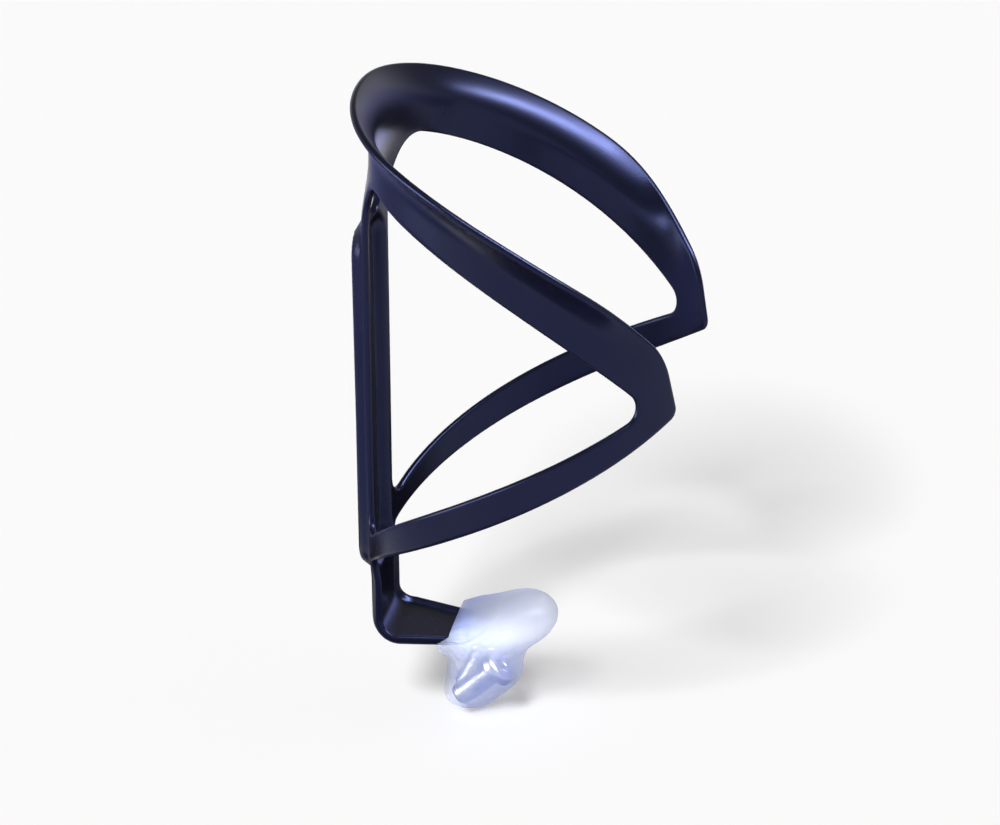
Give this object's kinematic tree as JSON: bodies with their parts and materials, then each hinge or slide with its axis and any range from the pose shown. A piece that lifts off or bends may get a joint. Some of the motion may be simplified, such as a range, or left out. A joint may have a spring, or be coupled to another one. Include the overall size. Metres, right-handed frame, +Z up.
{
  "type": "bottle_cage",
  "caption": "One-piece satin dark composite bottle cage with a flared hoop, open wings and a foot, its fixing bolts in a small milky film bag slipped over the foot",
  "frame": {"origin": "flat back face of the mounting rail, midway between the two fixing slots", "axes": "+Y out of the rail's back towards the bicycle frame, +Z up along the bottle"},
  "size_m": [0.087, 0.0688, 0.1376],
  "materials": {
    "satin_composite": "satin",
    "plated_steel": "satin",
    "milky_film": "semi-gloss"
  },
  "bodies": {
    "cage": {"cage_body": "satin_composite"},
    "bolt_bag": {"bag": "milky_film", "bolt_1": "plated_steel", "bolt_2": "plated_steel"}
  },
  "joints": [
    {"name": "bag_pull", "type": "slide", "parent": "cage", "child": "bolt_bag", "axis": [0, -1, 0], "range_m": [0, 0.025]}
  ]
}
